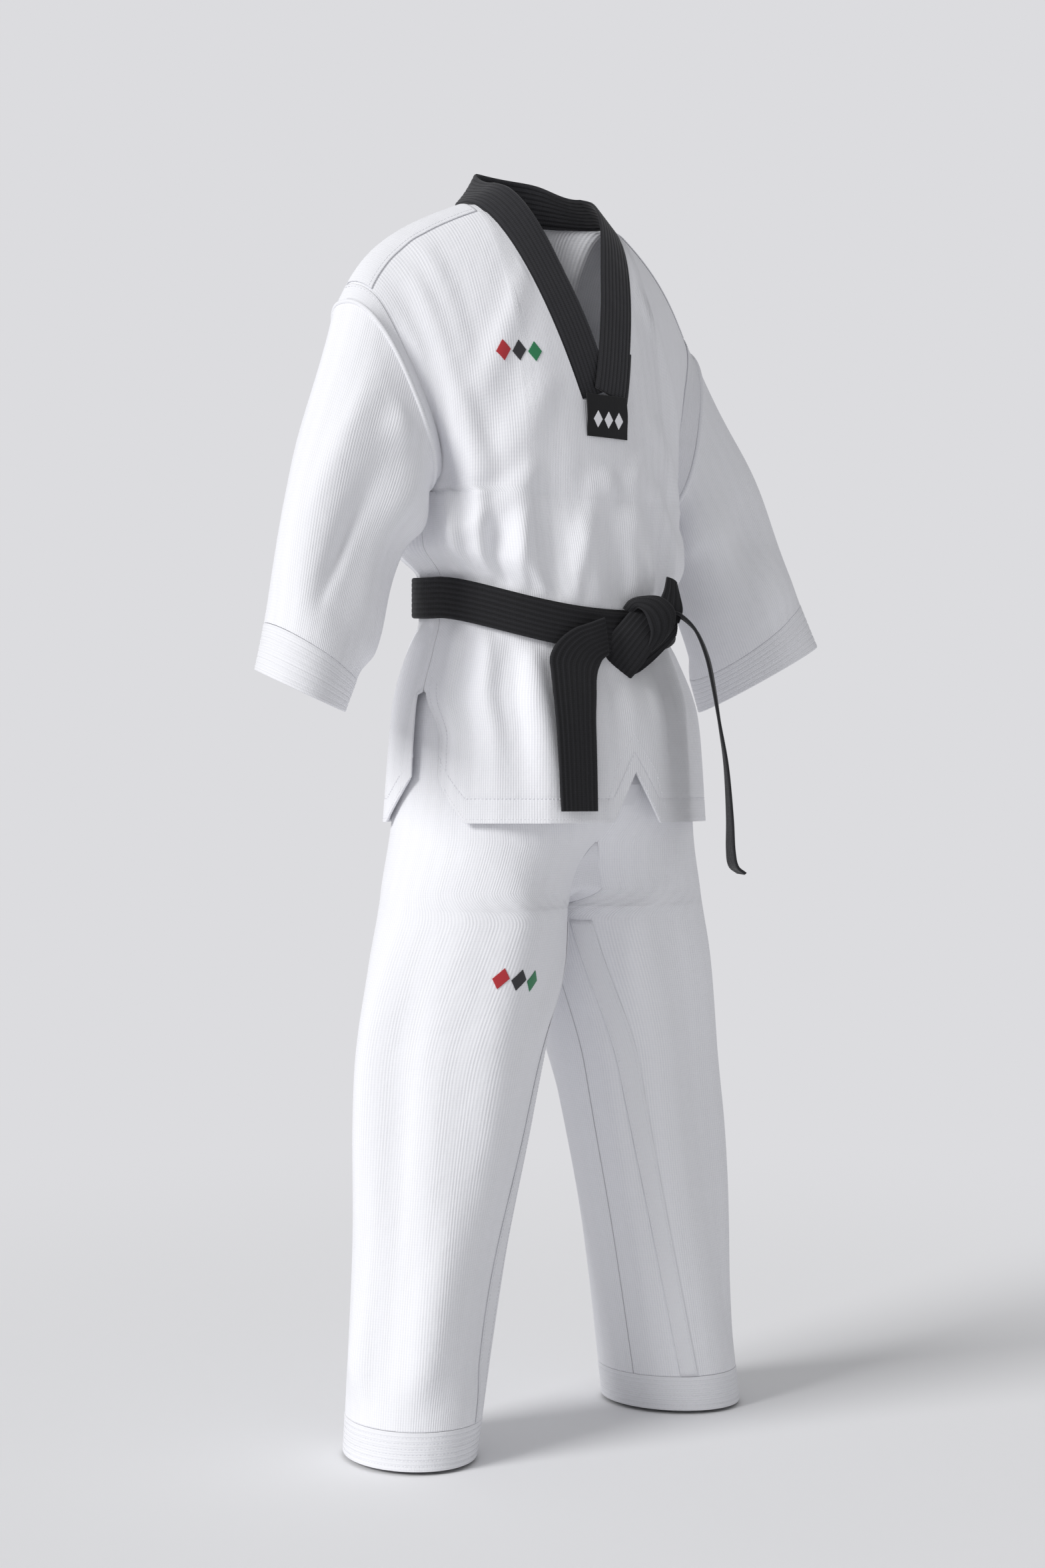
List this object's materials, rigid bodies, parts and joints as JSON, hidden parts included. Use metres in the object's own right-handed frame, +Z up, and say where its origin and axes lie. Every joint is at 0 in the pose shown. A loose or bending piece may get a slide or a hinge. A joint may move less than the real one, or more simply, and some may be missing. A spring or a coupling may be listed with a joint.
{
  "type": "martial arts uniform",
  "caption": "White pullover martial arts jacket with a black V collar, a tied black belt and wide white trousers, arranged as worn.",
  "frame": {"origin": "middle of the neck base, level with the shoulder seams, where the jacket hangs on the shoulders", "axes": "+Z up, -Y forward (the wearer's front), +X to the wearer's left"},
  "size_m": [0.7547, 0.3451, 1.4175],
  "materials": {
    "uniform_twill": "ribbed cotton and polyester twill",
    "white_tape": "flat sewn tape",
    "quilted_band": "row-stitched band",
    "black_collar": "row-stitched twill",
    "black_label": "woven satin",
    "white_label": "woven satin",
    "belt_webbing": "row-stitched cotton belt",
    "elastic": "braided elastic tape"
  },
  "bodies": {
    "jacket": {"jacket_front": "uniform_twill", "jacket_back": "uniform_twill", "front_hem_facing": "white_tape", "back_hem_facing": "white_tape", "notch_reinforcement": "white_tape", "right_shoulder_yoke": "white_tape", "left_shoulder_yoke": "white_tape", "right_armhole_tape": "white_tape", "left_armhole_tape": "white_tape", "collar_band": "black_collar", "collar_label": "black_label", "size_label": "white_label", "belt_inner_wrap": "belt_webbing", "belt_outer_wrap": "belt_webbing", "belt_knot_turn": "belt_webbing", "belt_knot_loop": "belt_webbing"},
    "right_sleeve_tube": {"right_sleeve": "uniform_twill", "right_cuff": "quilted_band"},
    "left_sleeve_tube": {"left_sleeve": "uniform_twill", "left_cuff": "quilted_band"},
    "belt_front_tail": {"belt_front_end": "belt_webbing"},
    "belt_side_tail": {"belt_side_end": "belt_webbing"},
    "trousers": {"trouser_waistband": "uniform_twill", "waist_elastic": "elastic", "right_hip_panel": "uniform_twill", "left_hip_panel": "uniform_twill", "right_thigh": "uniform_twill", "left_thigh": "uniform_twill", "crotch_gusset": "uniform_twill", "front_rise_tape": "white_tape", "back_rise_tape": "white_tape"},
    "right_trouser_leg": {"right_leg": "uniform_twill", "right_hem_band": "quilted_band", "right_leg_seam_tape": "white_tape"},
    "left_trouser_leg": {"left_leg": "uniform_twill", "left_hem_band": "quilted_band", "left_leg_seam_tape": "white_tape"}
  },
  "joints": [
    {"name": "right_sleeve_lift", "type": "hinge", "parent": "jacket", "child": "right_sleeve_tube", "pos_m": [-0.246, 0.044, -0.121], "axis": [0, 1, 0], "range_deg": [0, 40]},
    {"name": "left_sleeve_lift", "type": "hinge", "parent": "jacket", "child": "left_sleeve_tube", "pos_m": [0.246, 0.044, -0.121], "axis": [0, -1, 0], "range_deg": [0, 40]},
    {"name": "front_tail_swing", "type": "hinge", "parent": "jacket", "child": "belt_front_tail", "pos_m": [-0.035, -0.143, -0.478], "axis": [-1, 0, 0], "range_deg": [0, 60]},
    {"name": "side_tail_swing", "type": "hinge", "parent": "jacket", "child": "belt_side_tail", "pos_m": [0.066, -0.147, -0.455], "axis": [-0.6428, -0.766, 0], "range_deg": [0, 50]},
    {"name": "trousers_pull_down", "type": "slide", "parent": "jacket", "child": "trousers", "axis": [0, 0, -1], "range_m": [0, 0.35]},
    {"name": "right_leg_spread", "type": "hinge", "parent": "trousers", "child": "right_trouser_leg", "pos_m": [-0.1, 0, -0.712], "axis": [0, 1, 0], "range_deg": [0, 25], "deforming": ["right_thigh", "crotch_gusset"]},
    {"name": "left_leg_spread", "type": "hinge", "parent": "trousers", "child": "left_trouser_leg", "pos_m": [0.1, 0, -0.712], "axis": [0, -1, 0], "range_deg": [0, 25], "deforming": ["left_thigh", "crotch_gusset"]}
  ]
}
